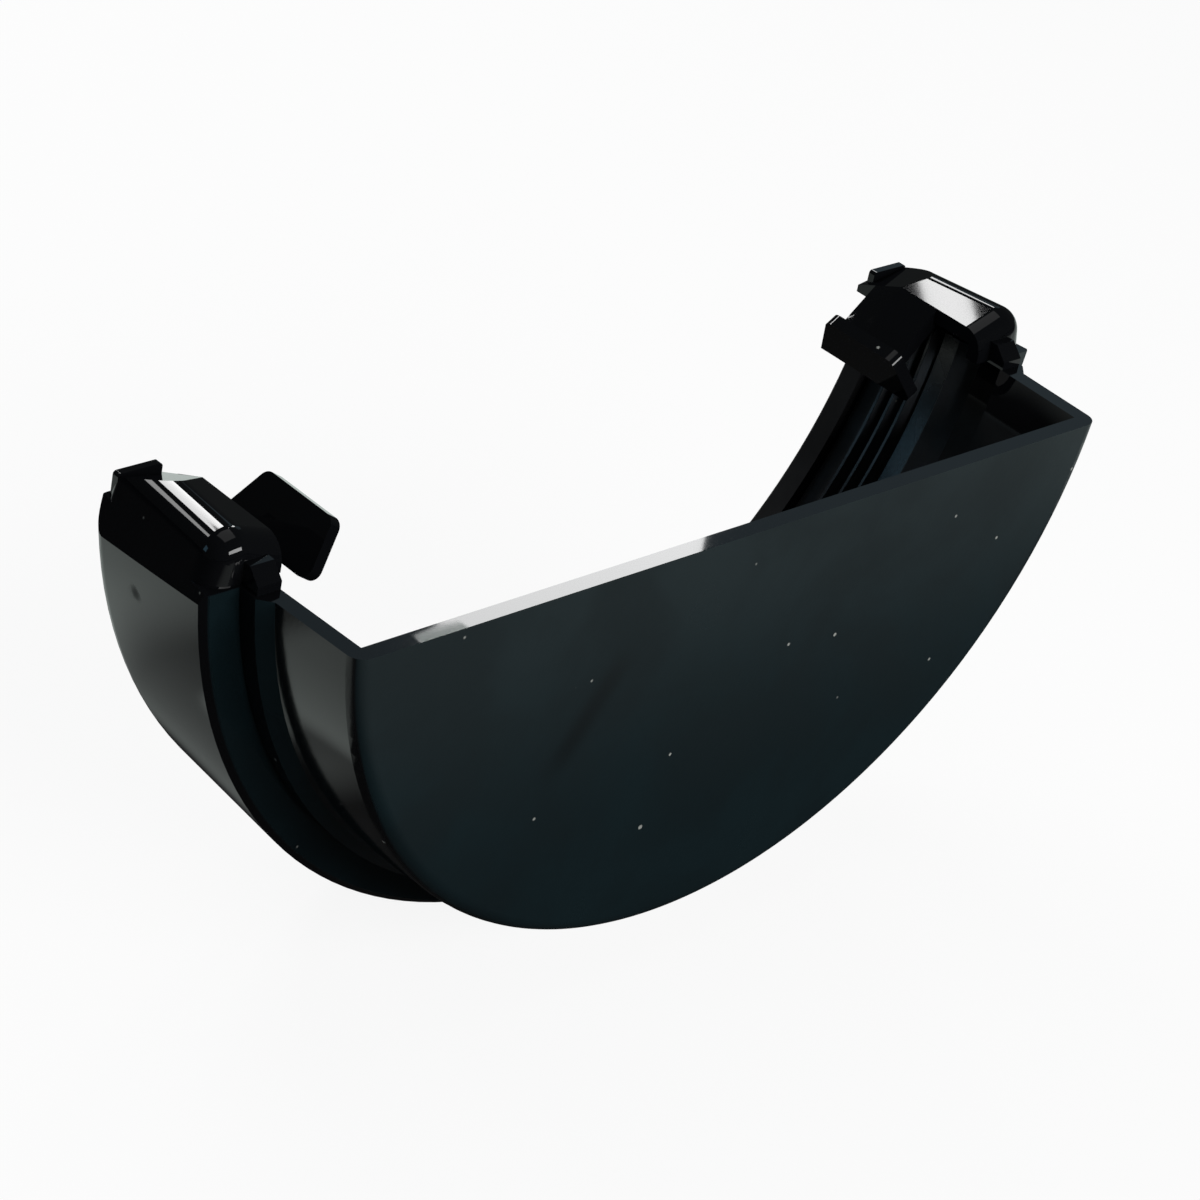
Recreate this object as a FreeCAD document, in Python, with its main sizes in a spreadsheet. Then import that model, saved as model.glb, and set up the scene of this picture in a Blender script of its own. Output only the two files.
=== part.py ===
"""External stop end for a 112 mm half-round gutter: one moulding with a snap clip on each rim, and its seal.

The channel is turned from one section; the clip on the +X side is drawn, mirrored and joined to it.
Depths are measured from the outer face of the end plate, heights from the rim, radii from the gutter axis.
The placement puts the middle of the mouth, at rim height, on the origin.
"""
import os

import FreeCAD
import Part
import Sketcher

doc = FreeCAD.newDocument("gutter_stop_end")
sheet = doc.addObject("Spreadsheet::Sheet", "sizes")
SIZES = {
    "gutter_radius": (56.0, "outside radius of the gutter that the socket takes"),
    "socket_clearance": (0.3, "radial play between gutter and socket"),
    "wall": (2.0, "general wall thickness of the moulding"),
    "axis_height": (6.36, "gutter axis above the rim"),
    "plate_thickness": (2.0, "end plate"),
    "plate_round": (1.8, "rounded edge between end plate and chamber"),
    "chamber_length": (12.2, "end plate face to the stop step"),
    "chamber_inset": (1.9, "outside of the chamber inside that of the recess, at the end plate"),
    "chamber_flare": (0.5, "growth of the chamber radius up to the stop step"),
    "step_length": (1.0, "length of the stop step, where the outside steps out over the gutter end"),
    "step_chamfer": (0.4, "broken edge of the stop step"),
    "stop_lap": (1.0, "inside shoulder that stops the gutter, behind the outside step"),
    "recess_length": (2.9, "length of the recess between stop step and seal housing"),
    "housing_length": (20.5, "seal housing, from its front face to the mouth"),
    "housing_chamfer": (0.8, "broken front edge of the seal housing"),
    "pocket_depth": (4.45, "depth of the seal pocket, at its front"),
    "mouth_taper": (1.25, "fall of the housing radius from its front to the mouth"),
    "mouth_land": (3.1, "length of the inner land behind the seal pocket"),
    "mouth_lead": (0.4, "lead-in chamfer at the mouth"),
    "mouth_round": (2.4, "rounded outside edge of the mouth"),
    "clip_setback": (0.3, "ends of the clip behind the front face of the housing and ahead of the mouth"),
    "clip_reach": (3.4, "reach of the inner clip edge inside the outside of the gutter"),
    "clip_inner_top": (3.7, "height of the inner clip edge above the rim"),
    "clip_pitch": (18.9, "rise of the top of the clip towards its outer side, in degrees"),
    "clip_round": (3.2, "rounded shoulder of the clip"),
    "clip_front_round": (2.8, "rounded edges of the front end of the clip"),
    "clip_rear_round": (1.8, "rounded edges of the rear end of the clip"),
    "clip_bite": (0.5, "bite of the clip into the housing wall below the rim"),
    "clip_wall": (1.8, "top wall of the clip"),
    "side_inset": (0.45, "outer side of the clip inside the housing, at the rim and the front face"),
    "side_lean": (15.0, "inward lean of the outer side, in degrees"),
    "side_taper": (6.8, "turn of the outer side towards the middle at the mouth, in degrees"),
    "fall_length": (6.7, "length of the falling top at the mouth end, along the inner clip edge"),
    "fall_drop": (2.9, "fall of the inner clip edge at the mouth"),
    "fall_tilt": (10.0, "tilt of the falling top across the clip, in degrees"),
    "nose_lap": (0.3, "lap of the nose over the rim of the chamber"),
    "nose_foot": (1.0, "upright part of the nose above the rim"),
    "nose_top": (2.6, "height of the nose"),
    "nose_slope": (1.6, "length of the slope of the nose"),
    "leg_thickness": (1.6, "spring leg and finger tab"),
    "leg_width": (9.7, "spring leg along the gutter"),
    "leg_setback": (2.9, "rear edge of the spring leg ahead of the mouth"),
    "leg_run": (6.6, "foot of the spring leg, inwards of the inner clip edge"),
    "leg_drop": (4.6, "foot of the spring leg below the rim"),
    "tab_lean": (33.0, "lean of the finger tab away from the clip, in degrees"),
    "tab_height": (6.9, "finger tab along its slope"),
    "tab_foot_length": (15.2, "foot of the finger tab along the gutter"),
    "tab_setback": (2.7, "rear lower corner of the tab ahead of the mouth"),
    "tab_rear_slant": (2.8, "slant of the rear edge of the tab"),
    "tab_front_slant": (1.6, "slant of the front edge of the tab"),
    "tab_round": (1.3, "rounded corners of the tab"),
    "tongue_inset": (1.0, "inner edge of the upright tongue, outwards of the inner clip edge"),
    "tongue_width": (5.6, "upright tongue across the clip"),
    "tongue_top": (2.9, "height of the tongue above the rim"),
    "tongue_thickness": (0.9, "upright tongue at the mouth"),
    "tongue_setback": (0.7, "rear face of the tongue, ahead of the mouth"),
    "tongue_round": (0.4, "rounded upper corners of the tongue"),
    "seal_gap": (0.1, "play of the seal strip in its pocket"),
    "seal_end_drop": (0.6, "seal ends below the rim"),
    "seal_lead": (4.1, "start of the flat land of the seal, behind the front of its pocket"),
    "seal_land": (2.4, "length of the flat land of the seal"),
    "seal_land_play": (0.8, "radial step from gutter to seal land"),
    "seal_valley": (2.0, "radial step from gutter to the bottom between the lips"),
    "lip_gap": (0.25, "space between the land and the first lip"),
    "lip_pitch": (1.9, "spacing of the lips"),
    "lip_half_width": (0.85, "half width of a lip at its root"),
    "lip_crest": (0.35, "flat crest of a lip"),
    "lip_bite": (0.3, "squeeze of a lip on the gutter"),
}
DERIVED = {
    "bore": ("gutter_radius + socket_clearance", "inside radius of the socket"),
    "recess_radius": ("bore + wall", "outside of the recess"),
    "plate_radius": ("recess_radius - chamber_inset", "outside of the chamber at the end plate"),
    "chamber_radius": ("plate_radius + chamber_flare", "outside of the chamber at the stop step"),
    "pocket_floor": ("bore + pocket_depth", "floor of the seal pocket at its front"),
    "housing_radius": ("pocket_floor + wall", "outside of the seal housing at its front"),
    "mouth_radius": ("housing_radius - mouth_taper", "outside of the seal housing at the mouth"),
    "step_end": ("chamber_length + step_length", "depth where the outside step ends"),
    "stop_depth": ("step_end + stop_lap", "depth of the inside shoulder that stops the gutter"),
    "housing_start": ("step_end + recess_length", "depth of the front face of the seal housing"),
    "overall_length": ("housing_start + housing_length", "end plate face to mouth"),
    "pocket_start": ("housing_start + wall", "depth of the front of the seal pocket"),
    "pocket_end": ("overall_length - mouth_land", "depth of the rear of the seal pocket"),
    "clip_front": ("housing_start + clip_setback", "depth of the front of the clip"),
    "clip_rear": ("overall_length - clip_setback", "depth of the rear of the clip"),
    "clip_inner": ("gutter_radius - clip_reach", "inner clip edge, from the middle of the gutter"),
    "clip_height": ("clip_inner_top + (housing_radius - clip_inner) * tan(clip_pitch)",
                    "height of the pitched top, carried on to the outside of the housing"),
    "housing_at_rim": ("sqrt(housing_radius^2 - axis_height^2)", "outside of the housing, at the rim"),
    "side_front": ("housing_at_rim - side_inset", "outer side of the clip at the rim and its front"),
    "fall_start": ("overall_length - fall_length", "depth where the top starts to fall"),
    "leg_foot": ("clip_inner - leg_run", "foot of the spring leg, from the middle of the gutter"),
    "leg_rear": ("overall_length - leg_setback", "depth of the rear edge of the spring leg"),
    "leg_front": ("leg_rear - leg_width", "depth of the front edge of the spring leg"),
    "tab_rear": ("overall_length - tab_setback", "depth of the rear lower corner of the tab"),
    "tab_front": ("tab_rear - tab_foot_length", "depth of the front lower corner of the tab"),
    "tongue_inner": ("clip_inner + tongue_inset", "inner edge of the tongue, from the middle of the gutter"),
    "land_start": ("pocket_start + seal_lead", "depth where the flat land of the seal starts"),
    "land_end": ("land_start + seal_land", "depth where the flat land of the seal ends"),
    "lip_first": ("land_end + lip_gap + lip_half_width", "depth of the first lip crest"),
}
LIPS = 3
TOUCH = 0.01
HALF_TURN = 180.0
rows = [(alias, str(value), meaning) for alias, (value, meaning) in SIZES.items()]
rows += [(alias, "=" + formula, meaning) for alias, (formula, meaning) in DERIVED.items()]
for row, (alias, content, meaning) in enumerate(rows, 1):
    sheet.set("A%d" % row, meaning)
    sheet.set("B%d" % row, content)
    sheet.setAlias("B%d" % row, alias)
    doc.recompute()


def size(formula):
    return sheet.evalExpression(formula)


def origin_plane(body, role):
    return [item for item in body.Origin.OriginFeatures if item.Role == role][0]


def outline(body, name, role, offset, corners):
    """Draws a closed outline whose corners are formulas on the size sheet."""
    sketch = body.newObject("Sketcher::SketchObject", name)
    sketch.AttachmentSupport = (origin_plane(body, role), [""])
    sketch.MapMode = "FlatFace"
    for axis, formula in offset.items():
        sketch.setExpression("AttachmentOffset.Base." + axis, formula)
    points = [FreeCAD.Vector(size(a), size(b), 0) for a, b in corners]
    for index, point in enumerate(points):
        following = points[(index + 1) % len(points)]
        sketch.addGeometry(Part.LineSegment(point, following), False)
    for index in range(len(points)):
        following = (index + 1) % len(points)
        sketch.addConstraint(Sketcher.Constraint("Coincident", index, 2, following, 1))
    for index, pair in enumerate(corners):
        for direction, formula, place in zip(("DistanceX", "DistanceY"), pair, points[index]):
            number = sketch.addConstraint(Sketcher.Constraint(direction, -1, 1, index, 1, place))
            sketch.setExpression("Constraints[%d]" % number, formula)
    doc.recompute()
    return sketch


def turn(sketch, axis, angle):
    """Turns a sketch about an axis through its own origin, by an angle on the size sheet."""
    place = sketch.AttachmentOffset.Base
    sketch.AttachmentOffset = FreeCAD.Placement(place, FreeCAD.Rotation(axis, size(angle)))
    sketch.setExpression("AttachmentOffset.Rotation.Angle", angle)
    doc.recompute()


def feature(body, kind, name, profile, **settings):
    """Adds a feature on a profile; text settings are formulas on the size sheet, others plain values."""
    item = body.newObject("PartDesign::" + kind, name)
    item.Profile = profile
    for setting, value in settings.items():
        if isinstance(value, str):
            item.setExpression(setting, value)
        else:
            setattr(item, setting, value)
    doc.recompute()
    return item


def rounding(body, name, base, radius, wanted):
    """Rounds the edges of the base that the test picks."""
    names = ["Edge%d" % number for number, edge in enumerate(base.Shape.Edges, 1) if wanted(edge)]
    item = body.newObject("PartDesign::Fillet", name)
    item.Base = (base, names)
    item.setExpression("Radius", radius)
    doc.recompute()
    return item


def ring(depth, radius):
    """A test for the round edge at a depth and radius."""
    def wanted(edge):
        curve = edge.Curve
        return (isinstance(curve, Part.Circle) and abs(curve.Center.y - size(depth)) < TOUCH
                and abs(curve.Radius - size(radius)) < TOUCH)
    return wanted


def ends(edge):
    """The first and last point of an edge."""
    return edge.Vertexes[0].Point, edge.Vertexes[-1].Point


def below_axis(pairs):
    return [(depth, "-(%s)" % radius) for depth, radius in pairs]


def toward_mouth(depth):
    return {"z": "-(%s)" % depth}


# Outer side of the clip: a plane that leans in above the housing and turns in towards the mouth. It trims the
# corner of the housing below the rim as well, so that the side runs down to a crease on the housing.
SIDE_REACH = "(2 * sizes.axis_height)"
UPRIGHT = FreeCAD.Vector(0, 1, 0)


def side_cut(body, name):
    start = {"x": "sizes.side_front", "z": "-sizes.clip_front"}
    profile = outline(body, name + "_profile", "XZ_Plane", start, [
        ("-%s * tan(sizes.side_lean)" % SIDE_REACH, SIDE_REACH),
        ("%s * tan(sizes.side_lean)" % SIDE_REACH, "-" + SIDE_REACH),
        ("sizes.housing_radius", "-" + SIDE_REACH),
        ("sizes.housing_radius", SIDE_REACH),
    ])
    turn(profile, UPRIGHT, "sizes.side_taper")
    return feature(body, "Pocket", name, profile, Length="4 * sizes.housing_length", Midplane=True)


# Channel: end plate, chamber, stop step, seal housing and mouth, as one turned section cut off at the rim.
channel = doc.addObject("PartDesign::Body", "channel")
section = outline(channel, "wall_section", "YZ_Plane", {"y": "sizes.axis_height"}, below_axis([
    ("0", "0"),
    ("0", "sizes.plate_radius"),
    ("sizes.chamber_length", "sizes.chamber_radius"),
    ("sizes.step_end", "sizes.recess_radius - sizes.step_chamfer"),
    ("sizes.step_end + sizes.step_chamfer", "sizes.recess_radius"),
    ("sizes.housing_start", "sizes.recess_radius"),
    ("sizes.housing_start", "sizes.housing_radius - sizes.housing_chamfer"),
    ("sizes.housing_start + sizes.housing_chamfer", "sizes.housing_radius"),
    ("sizes.overall_length", "sizes.mouth_radius"),
    ("sizes.overall_length", "sizes.bore + sizes.mouth_lead"),
    ("sizes.overall_length - sizes.mouth_lead", "sizes.bore"),
    ("sizes.pocket_end", "sizes.bore"),
    ("sizes.pocket_end", "sizes.pocket_floor - sizes.mouth_taper"),
    ("sizes.pocket_start", "sizes.pocket_floor"),
    ("sizes.pocket_start", "sizes.bore"),
    ("sizes.stop_depth", "sizes.bore"),
    ("sizes.stop_depth", "sizes.chamber_radius - sizes.wall"),
    ("sizes.plate_thickness", "sizes.plate_radius - sizes.wall"),
    ("sizes.plate_thickness", "0"),
]))
half = feature(channel, "Revolution", "half_turn", section, ReferenceAxis=(section, ["H_Axis"]),
               Angle=HALF_TURN, Midplane=True)
plate_edge = rounding(channel, "plate_edge", half, "sizes.plate_round", ring("0", "sizes.plate_radius"))
mouth_edge = rounding(channel, "mouth_edge", plate_edge, "sizes.mouth_round",
                      ring("sizes.overall_length", "sizes.mouth_radius"))
rim_cut = outline(channel, "rim_cut", "XY_Plane", {}, [
    ("-sizes.housing_radius - sizes.wall", "-sizes.wall"),
    ("sizes.housing_radius + sizes.wall", "-sizes.wall"),
    ("sizes.housing_radius + sizes.wall", "sizes.overall_length + sizes.wall"),
    ("-sizes.housing_radius - sizes.wall", "sizes.overall_length + sizes.wall"),
])
rim = feature(channel, "Pocket", "rim", rim_cut, Length="sizes.axis_height + sizes.wall", Reversed=True)
housing_side = side_cut(channel, "housing_side")
far_side = channel.newObject("PartDesign::Mirrored", "far_side")
far_side.Originals = [housing_side]
far_side.MirrorPlane = (origin_plane(channel, "YZ_Plane"), [""])
channel.Tip = far_side
doc.recompute()

# Snap clip: a cap over the rim of the seal housing, with a leaning side, a rounded shoulder and a top that
# falls to the mouth.
clip = doc.addObject("PartDesign::Body", "clip")
plan = outline(clip, "cap_plan", "XY_Plane", {"z": "-sizes.clip_bite"}, [
    ("sizes.clip_inner", "sizes.clip_front"),
    ("sizes.housing_radius", "sizes.clip_front"),
    ("sizes.housing_radius", "sizes.clip_rear"),
    ("sizes.clip_inner", "sizes.clip_rear"),
])
cap = feature(clip, "Pad", "cap", plan, Length="sizes.clip_bite + sizes.clip_height")
pitch_cut = outline(clip, "pitch_cut", "XZ_Plane", toward_mouth("sizes.clip_front - sizes.wall"), [
    ("sizes.clip_inner", "sizes.clip_inner_top"),
    ("sizes.housing_radius", "sizes.clip_height"),
    ("sizes.clip_inner", "sizes.clip_height"),
])
cap_pitch = feature(clip, "Pocket", "cap_pitch", pitch_cut, Length="sizes.overall_length")
cap_side = side_cut(clip, "cap_side")


def shoulder_edge(edge):
    """The long outer edge between the pitched top and the leaning side."""
    first, last = ends(edge)
    high = min(first.z, last.z) > size("sizes.clip_inner_top") + TOUCH
    return high and abs(first.y - last.y) > size("sizes.clip_round")


shoulder = rounding(clip, "cap_shoulder", cap_side, "sizes.clip_round", shoulder_edge)


def end_edge(depth):
    """A test for the edges round an end of the cap, from the foot of its side over the top."""
    def wanted(edge):
        first, last = ends(edge)
        at_end = max(abs(first.y - size(depth)), abs(last.y - size(depth))) < TOUCH
        foot = max(first.z, last.z) < TOUCH
        inner = max(first.x, last.x) < size("sizes.clip_inner") + TOUCH
        return at_end and not foot and not inner
    return wanted


front_end = rounding(clip, "front_end", shoulder, "sizes.clip_front_round", end_edge("sizes.clip_front"))
rear_end = rounding(clip, "rear_end", front_end, "sizes.clip_rear_round", end_edge("sizes.clip_rear"))
CLIP_SIDE = {"z": "sizes.clip_inner - sizes.wall"}
CLIP_REACH = "(sizes.housing_radius - sizes.clip_inner + 2 * sizes.wall)"
SEAT_FRONT = "sizes.side_front - sizes.wall / 2"
SEAT_REAR = "sizes.side_front - sizes.wall / 2 - sizes.housing_length * tan(sizes.side_taper)"
inside_cut = outline(clip, "inside_cut", "XY_Plane", {}, [
    ("sizes.clip_inner - sizes.wall", "sizes.clip_front - sizes.wall"),
    (SEAT_FRONT, "sizes.clip_front - sizes.wall"),
    (SEAT_FRONT, "sizes.clip_front"),
    (SEAT_REAR, "sizes.overall_length"),
    ("sizes.clip_inner - sizes.wall", "sizes.overall_length"),
])
cap_inside = feature(clip, "Pocket", "cap_inside", inside_cut, Length="sizes.clip_bite + sizes.wall")
BEHIND = "(sizes.overall_length + sizes.wall)"
AHEAD = "sizes.housing_start"
GUTTER_WAY = FreeCAD.Vector(-1, 0, 0)


def fall(depth):
    """Drop of the falling top below the inner clip edge, at a depth."""
    return "-(%s - sizes.fall_start) * sizes.fall_drop / sizes.fall_length" % depth


fall_cut = outline(clip, "fall_cut", "YZ_Plane", {"y": "sizes.clip_inner_top", "z": "sizes.clip_inner"}, [
    (AHEAD, fall(AHEAD)),
    (BEHIND, fall(BEHIND)),
    (BEHIND, fall(AHEAD)),
])
turn(fall_cut, GUTTER_WAY, "sizes.fall_tilt")
clip_fall = feature(clip, "Pocket", "clip_fall", fall_cut, Length="2 * %s" % CLIP_REACH, Midplane=True)

# Room under the cap for the rim of the gutter, open to the channel.
ROOM_TOP = "sizes.clip_inner_top - sizes.clip_wall"
room_cut = outline(clip, "room_cut", "YZ_Plane", CLIP_SIDE, [
    ("sizes.pocket_start", "0"),
    ("sizes.pocket_end", "0"),
    ("sizes.pocket_end", "%s + %s" % (ROOM_TOP, fall("sizes.pocket_end"))),
    ("sizes.fall_start", ROOM_TOP),
    ("sizes.pocket_start", ROOM_TOP),
])
ROOM_WIDTH = "sizes.recess_radius - sizes.clip_inner + sizes.wall"
room = feature(clip, "Pocket", "rim_room", room_cut, Length=ROOM_WIDTH, Reversed=True)

# Nose: the sloped front end of the clip, standing on the rim over the stop step.
AT_RIM = "sqrt((%s)^2 - sizes.axis_height^2)"
NOSE_INNER = AT_RIM % "sizes.chamber_radius - sizes.wall"
NOSE_OUTER = AT_RIM % "sizes.recess_radius" + " - sizes.step_chamfer"
NOSE_FRONT = "sizes.stop_depth - sizes.nose_lap"
NOSE_REAR = "sizes.housing_start + sizes.wall / 2"
nose_side = outline(clip, "nose_side", "YZ_Plane", {"z": NOSE_INNER}, [
    (NOSE_FRONT, "0"),
    (NOSE_REAR, "0"),
    (NOSE_REAR, "sizes.nose_top"),
    (NOSE_FRONT + " + sizes.nose_slope", "sizes.nose_top"),
    (NOSE_FRONT, "sizes.nose_foot"),
])
nose = feature(clip, "Pad", "nose", nose_side, Length="%s - %s" % (NOSE_OUTER, NOSE_INNER))

# Spring leg: falls from the inner edge of the cap towards the channel, inside the gutter.


def leg_section(name, depth, top):
    return outline(clip, name, "XZ_Plane", toward_mouth(depth), [
        ("sizes.clip_inner", top),
        ("sizes.clip_inner + sizes.leg_thickness", "%s - sizes.leg_thickness" % top),
        ("sizes.leg_foot + sizes.leg_thickness", "-sizes.leg_drop"),
        ("sizes.leg_foot - sizes.leg_thickness / 2", "-sizes.leg_drop"),
    ])


leg_front = leg_section("leg_front", "sizes.leg_front", "sizes.clip_inner_top")
leg_middle = leg_section("leg_middle", "sizes.fall_start", "sizes.clip_inner_top")
leg_rear = leg_section("leg_rear", "sizes.leg_rear", "sizes.clip_inner_top + " + fall("sizes.leg_rear"))
leg = feature(clip, "AdditiveLoft", "spring_leg", leg_front, Sections=[leg_middle, leg_rear], Ruled=True)

# Finger tab: turned up from the foot of the leg, to pull the leg off the gutter.
tab_face = outline(clip, "tab_face", "YZ_Plane", {"y": "-sizes.leg_drop", "z": "sizes.leg_foot"}, [
    ("sizes.tab_front", "0"),
    ("sizes.tab_rear", "0"),
    ("sizes.tab_rear - sizes.tab_rear_slant", "sizes.tab_height"),
    ("sizes.tab_front + sizes.tab_front_slant", "sizes.tab_height"),
])
turn(tab_face, GUTTER_WAY, "sizes.tab_lean")
tab = feature(clip, "Pad", "finger_tab", tab_face, Length="sizes.leg_thickness", Midplane=True)
TAB_NORMAL = tab_face.Placement.Rotation.multVec(FreeCAD.Vector(0, 0, 1))


def tab_corner(edge):
    """The corners that stand clear of the spring leg."""
    first, last = ends(edge)
    along = last - first
    clear = first.y < size("sizes.leg_front") or first.z > -size("sizes.leg_drop / 2")
    across = abs(abs(along.dot(TAB_NORMAL)) - size("sizes.leg_thickness")) < TOUCH
    return clear and across and abs(along.Length - size("sizes.leg_thickness")) < TOUCH


tab_round = rounding(clip, "tab_round", tab, "sizes.tab_round", tab_corner)

# Tongue: an upright lip across the mouth end of the cap.
TONGUE_OUTER = "sizes.tongue_inner + sizes.tongue_width"
TONGUE_DEPTH = "sizes.overall_length - sizes.tongue_setback - sizes.tongue_thickness"
tongue_face = outline(clip, "tongue_face", "XZ_Plane", toward_mouth(TONGUE_DEPTH), [
    ("sizes.tongue_inner", "-sizes.clip_bite"),
    (TONGUE_OUTER, "-sizes.clip_bite"),
    (TONGUE_OUTER, "sizes.tongue_top"),
    ("sizes.tongue_inner", "sizes.tongue_top"),
])
tongue = feature(clip, "Pad", "tongue", tongue_face, Length="sizes.tongue_thickness", Reversed=True)


def tongue_corner(edge):
    first, last = ends(edge)
    top = abs(first.z - size("sizes.tongue_top")) < TOUCH and abs(last.z - first.z) < TOUCH
    return top and abs(abs(first.y - last.y) - size("sizes.tongue_thickness")) < TOUCH


tongue_round = rounding(clip, "tongue_round", tongue, "sizes.tongue_round", tongue_corner)

# The moulding: channel and both clips in one piece.
far_clip = doc.addObject("Part::Mirroring", "far_clip")
far_clip.Source = clip
far_clip.Normal = FreeCAD.Vector(1, 0, 0)
moulding = doc.addObject("Part::MultiFuse", "moulding")
moulding.Shapes = [channel, clip, far_clip]
moulding.Refine = True
moulding.Label = "stop_end_body"
moulding.setExpression("Placement.Base.y", "-sizes.overall_length")
doc.recompute()

# Seal: a rubber strip with a flat land and three lips, lying in the pocket of the housing.
seal = doc.addObject("PartDesign::Body", "seal")
VALLEY = "sizes.gutter_radius + sizes.seal_valley"
CREST = "sizes.gutter_radius - sizes.lip_bite"
LAND = "sizes.gutter_radius + sizes.seal_land_play"
SEAL_FRONT = "sizes.pocket_start + sizes.seal_gap"
SEAL_REAR = "sizes.pocket_end - sizes.seal_gap"
strip = [
    (SEAL_FRONT, "sizes.pocket_floor - sizes.seal_gap"),
    (SEAL_FRONT, VALLEY),
    ("sizes.land_start", LAND),
    ("sizes.land_end", LAND),
    ("sizes.lip_first - sizes.lip_half_width", VALLEY),
]
for lip in range(LIPS):
    crest = "sizes.lip_first + %d * sizes.lip_pitch" % lip
    strip.append((crest + " - sizes.lip_crest / 2", CREST))
    strip.append((crest + " + sizes.lip_crest / 2", CREST))
    strip.append((crest + " + sizes.lip_half_width", VALLEY))
strip.append((SEAL_REAR, VALLEY))
strip.append((SEAL_REAR, "sizes.pocket_floor - sizes.mouth_taper - sizes.seal_gap"))
seal_section = outline(seal, "seal_section", "YZ_Plane", {"y": "sizes.axis_height"}, below_axis(strip))
seal_turn = feature(seal, "Revolution", "seal_turn", seal_section, ReferenceAxis=(seal_section, ["H_Axis"]),
                    Angle=HALF_TURN, Midplane=True)
seal_cut = outline(seal, "seal_cut", "XY_Plane", {"z": "-sizes.seal_end_drop"}, [
    ("-sizes.housing_radius", "0"),
    ("sizes.housing_radius", "0"),
    ("sizes.housing_radius", "sizes.overall_length"),
    ("-sizes.housing_radius", "sizes.overall_length"),
])
SEAL_CLEAR = "sizes.axis_height + sizes.wall"
seal_ends = feature(seal, "Pocket", "seal_ends", seal_cut, Length=SEAL_CLEAR, Reversed=True)
seal.Label = "rubber_seal"
seal.setExpression("Placement.Base.y", "-sizes.overall_length")
doc.recompute()

for item in doc.Objects:
    if "Invalid" in item.State or "Error" in item.State:
        raise RuntimeError("%s is not built: %s" % (item.Name, item.State))
os.makedirs("parts", exist_ok=True)
for body in (moulding, seal):
    if body.Shape.isNull() or not body.Shape.isValid():
        raise RuntimeError("%s has no sound shape" % body.Label)
    print(body.Label, round(body.Shape.Volume), len(body.Shape.Solids), body.Shape.BoundBox)
    body.Shape.exportStep("parts/%s.step" % body.Label)
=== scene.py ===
"""A gutter stop end in black plastic, with a snap clip on each rim and a ribbed seal in its socket."""
import math

import bpy
from mathutils import Matrix, Vector


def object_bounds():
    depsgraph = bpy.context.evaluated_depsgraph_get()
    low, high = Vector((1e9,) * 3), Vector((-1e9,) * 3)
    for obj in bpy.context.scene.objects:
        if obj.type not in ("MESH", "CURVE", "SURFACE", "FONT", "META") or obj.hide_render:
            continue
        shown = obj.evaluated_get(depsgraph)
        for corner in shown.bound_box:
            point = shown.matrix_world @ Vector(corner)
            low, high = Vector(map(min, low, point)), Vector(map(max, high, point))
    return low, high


bpy.ops.wm.read_factory_settings(use_empty=True)
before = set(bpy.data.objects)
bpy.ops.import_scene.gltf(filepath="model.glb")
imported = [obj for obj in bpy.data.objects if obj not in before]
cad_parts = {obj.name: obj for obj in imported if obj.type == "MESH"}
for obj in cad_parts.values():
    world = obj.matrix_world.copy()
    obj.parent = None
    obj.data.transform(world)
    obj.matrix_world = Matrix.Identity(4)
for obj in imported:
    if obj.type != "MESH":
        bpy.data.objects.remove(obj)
cad_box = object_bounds()

# The moulding: one piece of black unplasticised vinyl, injected into a steel mould and held by its clips.
# The plate and the faces that look forward are satin, from an etched part of the mould, and their colour, a
# lighter teal than the rest of the same vinyl, is painted light. The sides, rims and clips come glossy from
# a polished one in a deeper black, and the inside of the channel is dull.
MM = 0.001
SATIN_TEAL_PAINTED_LIGHT = (0.0060, 0.0132, 0.0160, 1)
GLOSS_BLACK = (0.0030, 0.0033, 0.0040, 1)
UPVC_IOR = 1.53
UPVC_SPECULAR = 0.2
PLATE_ROUGHNESS = 0.32
SIDE_ROUGHNESS = 0.09
INSIDE_ROUGHNESS = 0.75
GLOSS_ROUGHNESS = 0.035
PLATE_RELIEF = 0.25
SIDE_RELIEF = 0.08
GLOSS_RELIEF = 0.003
GRAIN_DEPTH = 0.03 * MM
# How the slow flow marks of the plastic show: the part of their range that is used, and what it changes.
FLOW_SPREAD = (0.3, 0.7)
ROUGHNESS_CHANGE = (0.85, 1.2)
SATIN_FLOW = (0.35, 0.65)
SATIN_CHANGE = 0.35
# Where one finish passes into the next; each pair is where the change starts and where it ends.
PLATE_FACE = cad_box[0][1]
PLATE_BACK = PLATE_FACE + 2.0 * MM
PLATE_EDGE = (PLATE_FACE + 0.3 * MM, PLATE_BACK)
INSIDE_START = (PLATE_FACE + 0.7 * MM, PLATE_BACK - 0.7 * MM)
INSIDE_TOP = (-6.0 * MM, -5.0 * MM)
INSIDE_DEPTH = (0.0, 0.2 * MM)
AXIS_HEIGHT = 6.36 * MM
CHAMBER_SKIN = 55.7 * MM
HOUSING_SKIN = 57.4 * MM
STOP_STEP = (-24.5 * MM, -21.5 * MM)
CLIP_FRONT = (-23.0 * MM, -22.8 * MM)
CLIP_FOOT = (-0.2 * MM, 0.1 * MM)
HOUSING_FRONT = (-20.45 * MM, -20.3 * MM)
FACING_UP = (0.02, 0.12)
FACING_FRONT = (-0.70, -0.55)
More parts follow.
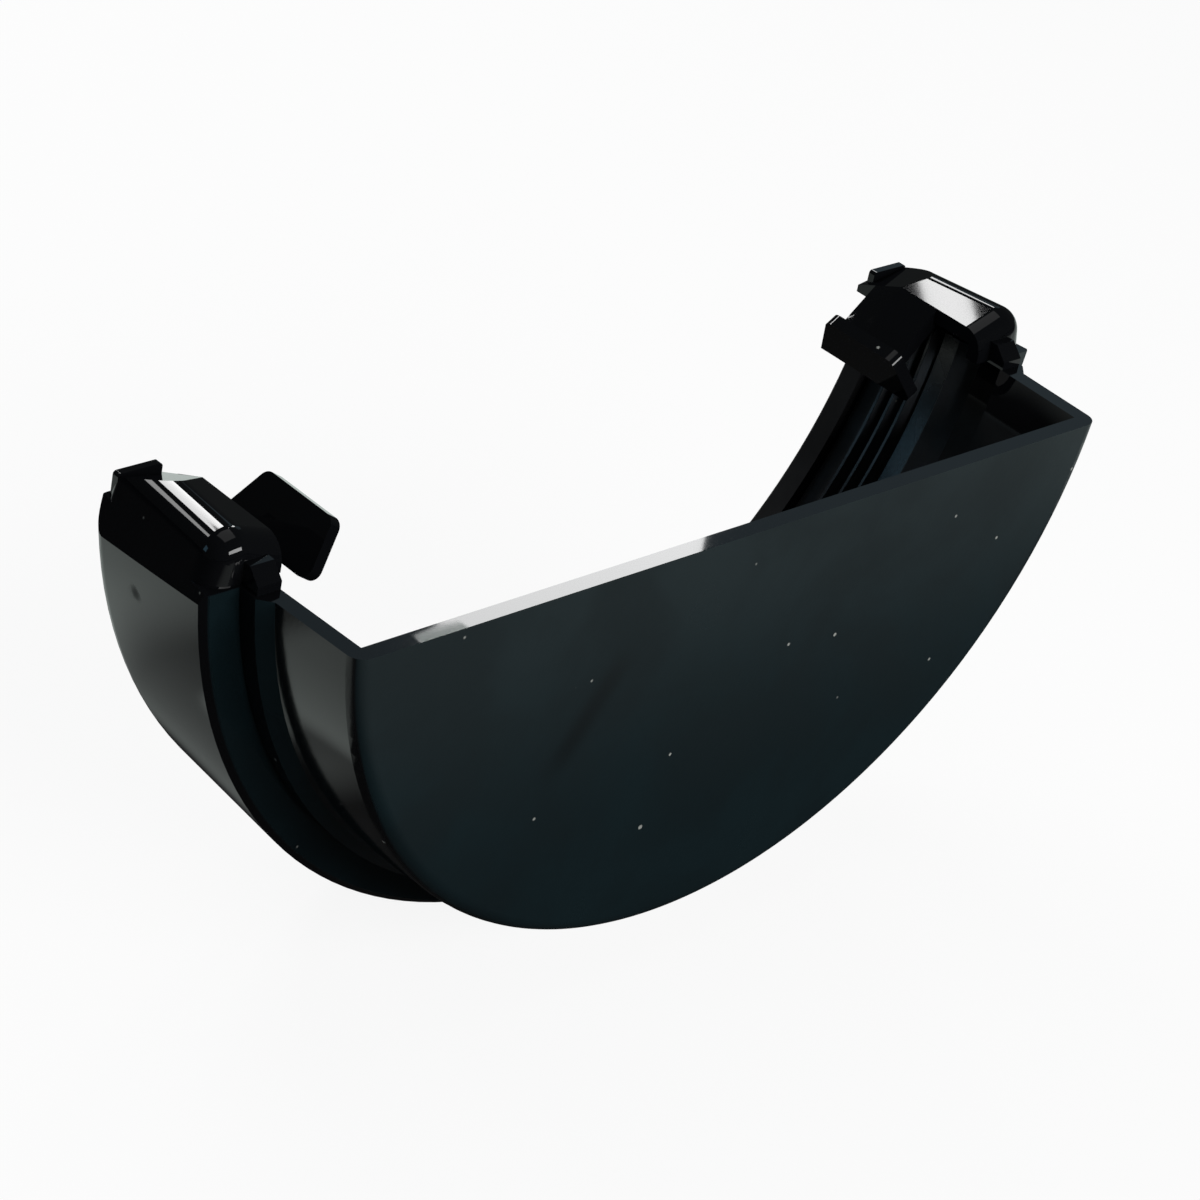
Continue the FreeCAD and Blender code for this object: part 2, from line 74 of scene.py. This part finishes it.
# Marks of use: grains of dust on the plate (across, height and radius in mm), a smear on its top edge, and a
# dull blotch on the near side of the housing. The plate is also darker along a diagonal streak across its
# lower left.
DUST_GREY = (0.30, 0.31, 0.29, 1)
PLATE_SPECKS = ((16.7, -18.0, 0.28), (-9.1, -35.6, 0.34), (-6.9, -26.6, 0.24))
SPECK_CORE = 0.6
DARKER_TEAL = (0.0020, 0.0038, 0.0048, 1)
STREAK_MIDDLE = (-21.5 * MM, 0, -17.0 * MM)
STREAK_ANGLE = math.radians(-33.0)
STREAK_WIDTH = (0.2 * MM, 2.8 * MM)
STREAK_LENGTH = (3.0 * MM, 10.0 * MM)
STREAK_STRENGTH = 0.7
SMEAR_GREEN = (0.055, 0.085, 0.070, 1)
SMEAR_START = (-48.4 * MM, -47.4 * MM)
SMEAR_END = (-42.4 * MM, -41.4 * MM)
SMEAR_FLOW = (0.3, 0.6)
SMEAR_STRENGTH = (0.2, 0.7)
BLOTCH_MIDDLE = (-60.5 * MM, -8.1 * MM, -7.1 * MM)
BLOTCH_EDGE = (0.8 * MM, 2.0 * MM)
BLOTCH_WANDER = 1.2 * MM
BLOTCH_STRENGTH = 0.8
BLOTCH_ROUGHNESS = 0.7


def feed(tree, socket, source):
    """Links an input to an output, or sets it to a plain value."""
    if isinstance(source, bpy.types.NodeSocket):
        tree.links.new(source, socket)
    else:
        socket.default_value = source


def node(tree, kind, settings=(), **inputs):
    """Adds a shader node; inputs are named in words joined by underscores."""
    made = tree.nodes.new("ShaderNode" + kind)
    for name, setting in dict(settings).items():
        setattr(made, name, setting)
    for name, source in inputs.items():
        feed(tree, made.inputs[name.replace("_", " ")], source)
    return made


def arithmetic(tree, operation, first, second=0.0):
    """Adds one step of arithmetic and gives its result."""
    step = node(tree, "Math", {"operation": operation})
    feed(tree, step.inputs[0], first)
    feed(tree, step.inputs[1], second)
    return step.outputs[0]


def both(tree, first, second):
    """A mask of where two masks overlap."""
    return arithmetic(tree, "MULTIPLY", first, second)


def either(tree, first, second):
    """A mask of where one mask or the other lies."""
    return arithmetic(tree, "MAXIMUM", first, second)


def ramp(tree, source, low, high, start=0.0, end=1.0):
    """A smooth change from start to end, as the source goes from low to high."""
    step = node(tree, "MapRange", {"interpolation_type": "SMOOTHSTEP"},
                Value=source, From_Min=low, From_Max=high, To_Min=start, To_Max=end)
    return step.outputs[0]


def fade(tree, source, low, high, start=1.0):
    """A smooth fall from start to nothing, as the source goes from low to high."""
    return ramp(tree, source, low, high, start, 0.0)


def blend(tree, amount, first, second):
    """Mixes two colours."""
    step = node(tree, "Mix", {"data_type": "RGBA"}, Factor=amount)
    feed(tree, step.inputs[6], first)
    feed(tree, step.inputs[7], second)
    return step.outputs[2]


def between(tree, amount, first, second):
    """Mixes two numbers."""
    step = node(tree, "Mix", Factor=amount)
    feed(tree, step.inputs[2], first)
    feed(tree, step.inputs[3], second)
    return step.outputs[0]


def distance(tree, place, point):
    """How far a place is from a fixed point."""
    step = node(tree, "VectorMath", {"operation": "DISTANCE"})
    feed(tree, step.inputs[0], place)
    feed(tree, step.inputs[1], point)
    return step.outputs["Value"]


def from_axis(tree, across, height):
    """How far a place is from the axis of the gutter."""
    section = node(tree, "CombineXYZ", X=across, Z=height)
    return distance(tree, section.outputs[0], (0, 0, AXIS_HEIGHT))


def effect(name, inputs, outputs):
    """Starts a node group with number inputs and outputs, and gives its tree and both ends."""
    group = bpy.data.node_groups.new(name, "ShaderNodeTree")
    group.interface.new_socket("Place", in_out="INPUT", socket_type="NodeSocketVector")
    for title, value in inputs.items():
        socket = group.interface.new_socket(title, in_out="INPUT", socket_type="NodeSocketFloat")
        socket.default_value = value
    for title in outputs:
        group.interface.new_socket(title, in_out="OUTPUT", socket_type="NodeSocketFloat")
    return group, group.nodes.new("NodeGroupInput").outputs, group.nodes.new("NodeGroupOutput").inputs


def use(tree, group, place, **inputs):
    """Places an effect in a material and gives its outputs."""
    return node(tree, "Group", {"node_tree": group}, Place=place, **inputs).outputs


# Moulded skin: a fine etched grain, and a slow unevenness from the flow of the plastic.
moulded_skin, given, out = effect("moulded_skin", {"Grain Scale": 2200.0, "Flow Scale": 60.0},
                                  ("Grain", "Flow"))
grain = node(moulded_skin, "TexNoise", Vector=given["Place"], Scale=given["Grain Scale"],
             Detail=3.0, Roughness=0.6)
feed(moulded_skin, out["Grain"], grain.outputs[0])
flow = node(moulded_skin, "TexNoise", Vector=given["Place"], Scale=given["Flow Scale"],
            Detail=4.0, Roughness=0.55, Distortion=0.4)
feed(moulded_skin, out["Flow"], flow.outputs[0])

# Settled dust: small pale grains, thinly and unevenly spread.
DUST_GRAIN = (0.04, 0.13)
dust, given, out = effect("dust", {"Cells Per Metre": 450.0, "Amount": 0.06}, ("Cover",))
cells = node(dust, "TexVoronoi", Vector=given["Place"], Scale=given["Cells Per Metre"], Randomness=1.0)
chance = node(dust, "SeparateColor", Color=cells.outputs["Color"]).outputs[0]
has_grain = arithmetic(dust, "LESS_THAN", chance, given["Amount"])
feed(dust, out["Cover"], both(dust, has_grain, fade(dust, cells.outputs["Distance"], *DUST_GRAIN)))


def bare_material(name):
    """Starts a material with no nodes."""
    material = bpy.data.materials.new(name)
    material.use_nodes = True
    material.node_tree.nodes.clear()
    return material


def finish_material(tree, surface):
    """Gives the material its surface."""
    node(tree, "OutputMaterial", Surface=surface.outputs[0])


def dress(piece, material):
    """Gives a piece its one material."""
    piece.data.materials.clear()
    piece.data.materials.append(material)


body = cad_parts["stop_end_body"]
black_upvc = bare_material("black_upvc")
tree = black_upvc.node_tree
place = node(tree, "TexCoord").outputs["Object"]
across, depth, height = node(tree, "SeparateXYZ", Vector=place).outputs
facing = node(tree, "NewGeometry").outputs["Normal"]
_, facing_y, facing_z = node(tree, "SeparateXYZ", Vector=facing).outputs
skin = use(tree, moulded_skin, place)

# Which finish the mould gives to each face.
facing_up = ramp(tree, facing_z, *FACING_UP)
facing_front = both(tree, fade(tree, facing_y, *FACING_FRONT), fade(tree, depth, *HOUSING_FRONT))
skin_radius = ramp(tree, depth, *STOP_STEP, CHAMBER_SKIN, HOUSING_SKIN)
under_skin = arithmetic(tree, "SUBTRACT", skin_radius, from_axis(tree, across, height))
inside = both(tree, ramp(tree, under_skin, *INSIDE_DEPTH), ramp(tree, depth, *INSIDE_START))
on_clip = both(tree, ramp(tree, height, *CLIP_FOOT), ramp(tree, depth, *CLIP_FRONT))
polished = either(tree, facing_up, either(tree, inside, on_clip))
# Painted light: the forward satin faces get a lighter teal than the rest of the same vinyl.
etched_painted_light = both(tree, facing_front, arithmetic(tree, "SUBTRACT", 1.0, polished))
on_plate = fade(tree, depth, *PLATE_EDGE)

# Where the marks of use and the darker streak lie.
from_streak = node(tree, "VectorMath", {"operation": "SUBTRACT"})
feed(tree, from_streak.inputs[0], place)
feed(tree, from_streak.inputs[1], STREAK_MIDDLE)
turned = node(tree, "VectorRotate", {"rotation_type": "Y_AXIS"},
              Vector=from_streak.outputs[0], Angle=STREAK_ANGLE)
aside, _, along = node(tree, "SeparateXYZ", Vector=turned.outputs[0]).outputs
# The plate is darker along a diagonal streak across its lower left.
dark_streak = both(tree, fade(tree, arithmetic(tree, "ABSOLUTE", aside), *STREAK_WIDTH, STREAK_STRENGTH),
             fade(tree, arithmetic(tree, "ABSOLUTE", along), *STREAK_LENGTH))
dark_streak = both(tree, dark_streak, on_plate)
smear = both(tree, ramp(tree, across, *SMEAR_START), fade(tree, across, *SMEAR_END))
smear = both(tree, smear, both(tree, on_plate, facing_up))
smear = both(tree, smear, ramp(tree, skin["Flow"], *SMEAR_FLOW, *SMEAR_STRENGTH))
wander = ramp(tree, skin["Flow"], *FLOW_SPREAD, -BLOTCH_WANDER, BLOTCH_WANDER)
from_blotch = arithmetic(tree, "ADD", distance(tree, place, BLOTCH_MIDDLE), wander)
blotch = fade(tree, from_blotch, *BLOTCH_EDGE, BLOTCH_STRENGTH)
specks = use(tree, dust, place)["Cover"]
for speck_across, speck_height, speck_radius in PLATE_SPECKS:
    from_speck = distance(tree, place, (speck_across * MM, PLATE_FACE, speck_height * MM))
    speck = fade(tree, from_speck, speck_radius * MM * SPECK_CORE, speck_radius * MM)
    specks = either(tree, specks, speck)

# Painted light: the satin colour is a lighter teal than the glossy black of the same vinyl.
satin_painted_light = blend(tree, ramp(tree, skin["Flow"], *SATIN_FLOW, 0.0, SATIN_CHANGE), SATIN_TEAL_PAINTED_LIGHT, DARKER_TEAL)
satin_painted_light = blend(tree, dark_streak, satin_painted_light, DARKER_TEAL)
colour = blend(tree, etched_painted_light, GLOSS_BLACK, satin_painted_light)
colour = blend(tree, smear, colour, SMEAR_GREEN)
colour = blend(tree, specks, colour, DUST_GREY)
roughness = between(tree, on_plate, SIDE_ROUGHNESS, PLATE_ROUGHNESS)
roughness = between(tree, polished, roughness, GLOSS_ROUGHNESS)
low_inside = both(tree, inside, fade(tree, height, *INSIDE_TOP))
roughness = between(tree, low_inside, roughness, INSIDE_ROUGHNESS)
change = ramp(tree, skin["Flow"], *FLOW_SPREAD, *ROUGHNESS_CHANGE)
roughness = arithmetic(tree, "MULTIPLY", roughness, change)
roughness = between(tree, smear, roughness, PLATE_ROUGHNESS)
roughness = between(tree, blotch, roughness, BLOTCH_ROUGHNESS)
relief = between(tree, polished, between(tree, on_plate, SIDE_RELIEF, PLATE_RELIEF), GLOSS_RELIEF)
bump = node(tree, "Bump", Strength=relief, Distance=GRAIN_DEPTH, Height=skin["Grain"])
surface = node(tree, "BsdfPrincipled", Base_Color=colour, Roughness=roughness, IOR=UPVC_IOR,
               Specular_IOR_Level=UPVC_SPECULAR, Normal=bump.outputs[0])
finish_material(tree, surface)
dress(body, black_upvc)

# The seal: a strip of black rubber, extruded with three lips and a flat land, laid in the socket's pocket.
# Its skin is dull, with the blue-grey bloom that such rubber gets in store, and smoother on the land and on
# the crests of the lips.
RUBBER_BLACK = (0.006, 0.007, 0.009, 1)
RUBBER_BLOOM = (0.012, 0.018, 0.024, 1)
BLOOM_FLOW = (0.35, 0.7)
RUBBER_SPECULAR = 0.5
DULL_ROUGHNESS = 0.85
SMOOTH_ROUGHNESS = (0.20, 0.32)
RUBBER_RELIEF = 0.3
RUBBER_GRAIN = 3200.0
RUBBER_FLOW = 140.0
RUBBER_DUST = 0.15
LAND_FRONT = (-14.4 * MM, -14.3 * MM)
LAND_REAR = (-12.1 * MM, -12.0 * MM)
LIP_CREST = (55.75 * MM, 55.9 * MM)
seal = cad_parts["rubber_seal"]
seal_rubber = bare_material("seal_rubber")
tree = seal_rubber.node_tree
place = node(tree, "TexCoord").outputs["Object"]
across, depth, height = node(tree, "SeparateXYZ", Vector=place).outputs
skin = use(tree, moulded_skin, place, Grain_Scale=RUBBER_GRAIN, Flow_Scale=RUBBER_FLOW)
on_land = both(tree, ramp(tree, depth, *LAND_FRONT), fade(tree, depth, *LAND_REAR))
on_crest = fade(tree, from_axis(tree, across, height), *LIP_CREST)
smooth = either(tree, on_land, on_crest)
colour = blend(tree, ramp(tree, skin["Flow"], *BLOOM_FLOW), RUBBER_BLACK, RUBBER_BLOOM)
colour = blend(tree, use(tree, dust, place, Amount=RUBBER_DUST)["Cover"], colour, DUST_GREY)
smooth_roughness = ramp(tree, skin["Flow"], *FLOW_SPREAD, *SMOOTH_ROUGHNESS)
roughness = between(tree, smooth, DULL_ROUGHNESS, smooth_roughness)
bump = node(tree, "Bump", Strength=RUBBER_RELIEF, Distance=GRAIN_DEPTH, Height=skin["Grain"])
surface = node(tree, "BsdfPrincipled", Base_Color=colour, Roughness=roughness,
               Specular_IOR_Level=RUBBER_SPECULAR, Normal=bump.outputs[0])
finish_material(tree, surface)
dress(seal, seal_rubber)

# The floor: a wide pale studio table under the stop end, one flat sheet at the height of its lowest point.
# The camera sees it as white with a faint shadow. In the gloss of the stop end it is pale only in zones
# behind, in front and to the right, as painted reflection, and painted dark elsewhere as painted shade, in
# the place of what stood round the real one.
WHITE = (1, 1, 1, 1)
PALE_TABLE = (0.85, 0.85, 0.85, 1)
PAINTED_SHADE_FLOOR = (0.04, 0.04, 0.04, 1)
MIRRORED_TINT = (0.84, 1.0, 0.92, 1)
FLOOR_REACH = 30.0
WHITE_SEEN = 0.9
WHITE_FADE = (0.5, 2.5)
WHITE_MIRRORED = 0.5
# The zone behind, which leaves out the ground under the stop end as painted shade and is painted dimmer in
# its shadow.
TABLE_REACH = (0.15, 0.255)
TABLE_SLANT = 0.5
TABLE_START = (0.012, 0.024)
UNDERSIDE_SHADE = (0.03, 0.04)
SHADOW_FRONT = (0.015, 0.021)
SHADOW_REAR = (0.027, 0.045)
SHADOW_SIDE = (0.055, 0.065)
SHADOW_LIGHT = 0.2
# The zones in front and to the right, pale in the gloss only: painted reflection.
FRONT_EDGE = (-0.10, -0.07)
FRONT_REACH = (0.2, 0.3)
FRONT_LIGHT = 0.45
RIGHT_START = (0.12, 0.17)
RIGHT_SIDE = (0.10, 0.16)
RIGHT_LIGHT = 0.8
floor_height = cad_box[0][2]
floor_mesh = bpy.data.meshes.new("studio_floor")
corners = [(x * FLOOR_REACH, y * FLOOR_REACH, floor_height) for x, y in ((-1, -1), (1, -1), (1, 1), (-1, 1))]
floor_mesh.from_pydata(corners, [], [(0, 1, 2, 3)])
floor = bpy.data.objects.new("studio_floor", floor_mesh)
bpy.context.scene.collection.objects.link(floor)
pale_table = bare_material("pale_table")
tree = pale_table.node_tree
rays = node(tree, "LightPath").outputs
place = node(tree, "NewGeometry").outputs["Position"]
floor_x, floor_y, _ = node(tree, "SeparateXYZ", Vector=place).outputs
away = distance(tree, place, (0, 0, 0))
off_middle = arithmetic(tree, "ABSOLUTE", floor_x)
slant = arithmetic(tree, "MULTIPLY", floor_x, TABLE_SLANT)
behind = ramp(tree, arithmetic(tree, "SUBTRACT", floor_y, slant), *TABLE_START)
behind = both(tree, fade(tree, away, *TABLE_REACH), behind)
behind = both(tree, behind, ramp(tree, off_middle, *UNDERSIDE_SHADE))
before_shadow = both(tree, ramp(tree, floor_y, *SHADOW_FRONT, 1.0, SHADOW_LIGHT),
                     ramp(tree, off_middle, *SHADOW_SIDE))
past_shadow = ramp(tree, floor_y, *SHADOW_REAR, SHADOW_LIGHT, 1.0)
behind = both(tree, behind, either(tree, before_shadow, past_shadow))
in_front = both(tree, fade(tree, floor_y, *FRONT_EDGE, FRONT_LIGHT), fade(tree, away, *FRONT_REACH))
on_right = both(tree, ramp(tree, floor_x, *RIGHT_START, 0.0, RIGHT_LIGHT),
                fade(tree, arithmetic(tree, "ABSOLUTE", floor_y), *RIGHT_SIDE))
pale_zone = either(tree, behind, either(tree, in_front, on_right))
pale = either(tree, rays["Is Camera Ray"], pale_zone)
# Outside the pale zones the floor is painted dark for all but camera rays: painted shade.
lit = node(tree, "BsdfDiffuse", Color=blend(tree, pale, PAINTED_SHADE_FLOOR, PALE_TABLE))
tint = blend(tree, rays["Is Camera Ray"], MIRRORED_TINT, WHITE)
white = node(tree, "Emission", Color=tint, Strength=1.0)
seen_white = both(tree, rays["Is Camera Ray"], ramp(tree, away, *WHITE_FADE, WHITE_SEEN, 1.0))
# The pale zones also glow, tinted green, for gloss rays only: a painted reflection.
mirrored_white = both(tree, both(tree, rays["Is Glossy Ray"], pale_zone), WHITE_MIRRORED)
table_top = node(tree, "MixShader", Fac=either(tree, seen_white, mirrored_white))
feed(tree, table_top.inputs[1], lit.outputs[0])
feed(tree, table_top.inputs[2], white.outputs[0])
finish_material(tree, table_top)
dress(floor, pale_table)

# The studio: a dark room with eight lit panels, white only where the camera looks straight at its walls.
# Each panel faces the middle of the socket's mouth, all from one distance, and stands where a bright
# reflection on the plastic or the rubber points to.
ROOM_GREY = (0.034, 0.037, 0.036, 1)
PANEL_DISTANCE = 0.6
PANEL_WHITE = (1, 1, 1)
PANEL_PALE_BLUE = (0.6, 0.85, 1.0)
PANEL_BLUE = (0.35, 0.72, 1.0)
world = bpy.data.worlds.new("studio_room")
bpy.context.scene.world = world
world.use_nodes = True
tree = world.node_tree
looked_at = node(tree, "LightPath").outputs["Is Camera Ray"]
feed(tree, tree.nodes["Background"].inputs["Color"], blend(tree, looked_at, ROOM_GREY, WHITE))


def panel(name, aim, size, glow, colour=PANEL_WHITE):
    """A lit panel; aim is its azimuth and elevation in degrees, glow its brightness, where white is 1."""
    width, height = size
    lamp = bpy.data.lights.new(name, "AREA")
    lamp.shape = "RECTANGLE"
    lamp.size = width
    lamp.size_y = height
    lamp.energy = glow * math.pi * width * height
    lamp.color = colour
    stand = bpy.data.objects.new(name, lamp)
    turn, rise = (math.radians(angle) for angle in aim)
    level = Vector((math.cos(turn), math.sin(turn), 0))
    stand.location = PANEL_DISTANCE * (math.cos(rise) * level + Vector((0, 0, math.sin(rise))))
    stand.rotation_euler = (-stand.location).to_track_quat("-Z", "Y").to_euler()
    bpy.context.scene.collection.objects.link(stand)


panel("panel_behind_right", aim=(40.7, 33.5), size=(0.068, 0.12), glow=13.0)
panel("glow_behind_right", aim=(38.0, 30.0), size=(0.24, 0.17), glow=0.3, colour=PANEL_PALE_BLUE)
panel("panel_above_right", aim=(51.0, 50.0), size=(0.013, 0.030), glow=26.0)
panel("strip_behind", aim=(84.0, 41.0), size=(0.30, 0.055), glow=24.0)
panel("strip_behind_left", aim=(116.0, 29.0), size=(0.12, 0.10), glow=9.0)
panel("strip_front", aim=(-85.0, 24.0), size=(0.52, 0.13), glow=16.0)
panel("card_left", aim=(156.0, 13.0), size=(0.16, 0.16), glow=1.8, colour=PANEL_BLUE)
panel("panel_overhead", aim=(90.0, 86.0), size=(0.50, 0.50), glow=0.9)

# The camera: above and to the left of the end plate, with a long lens, tipped as the photograph was taken.
# Its place, angles and lens come from a fit to the outlines of the plate, rims and clips.
EYE = Vector((-0.2593, -0.2420, 0.1829))
AZIMUTH = math.radians(48.94)
ELEVATION = math.radians(30.599)
ROLL = math.radians(12.021)
SENSOR_WIDTH = 36.0
FOCAL_PIXELS = 3566.015
FRAME_PIXELS = 1200
NEAREST_SEEN = 0.01
back = Vector((-math.sin(AZIMUTH) * math.cos(ELEVATION), -math.cos(AZIMUTH) * math.cos(ELEVATION),
               math.sin(ELEVATION)))
level = Vector((math.cos(AZIMUTH), -math.sin(AZIMUTH), 0))
upright = back.cross(level)
right = math.cos(ROLL) * level + math.sin(ROLL) * upright
up = math.cos(ROLL) * upright - math.sin(ROLL) * level
lens = bpy.data.cameras.new("photo_camera")
lens.sensor_width = SENSOR_WIDTH
lens.lens = SENSOR_WIDTH * FOCAL_PIXELS / FRAME_PIXELS
lens.clip_start = NEAREST_SEEN
camera = bpy.data.objects.new("photo_camera", lens)
camera.matrix_world = Matrix((right, up, back)).transposed().to_4x4()
camera.location = EYE
bpy.context.scene.collection.objects.link(camera)
bpy.context.scene.camera = camera
bpy.context.scene.view_settings.view_transform = "Standard"
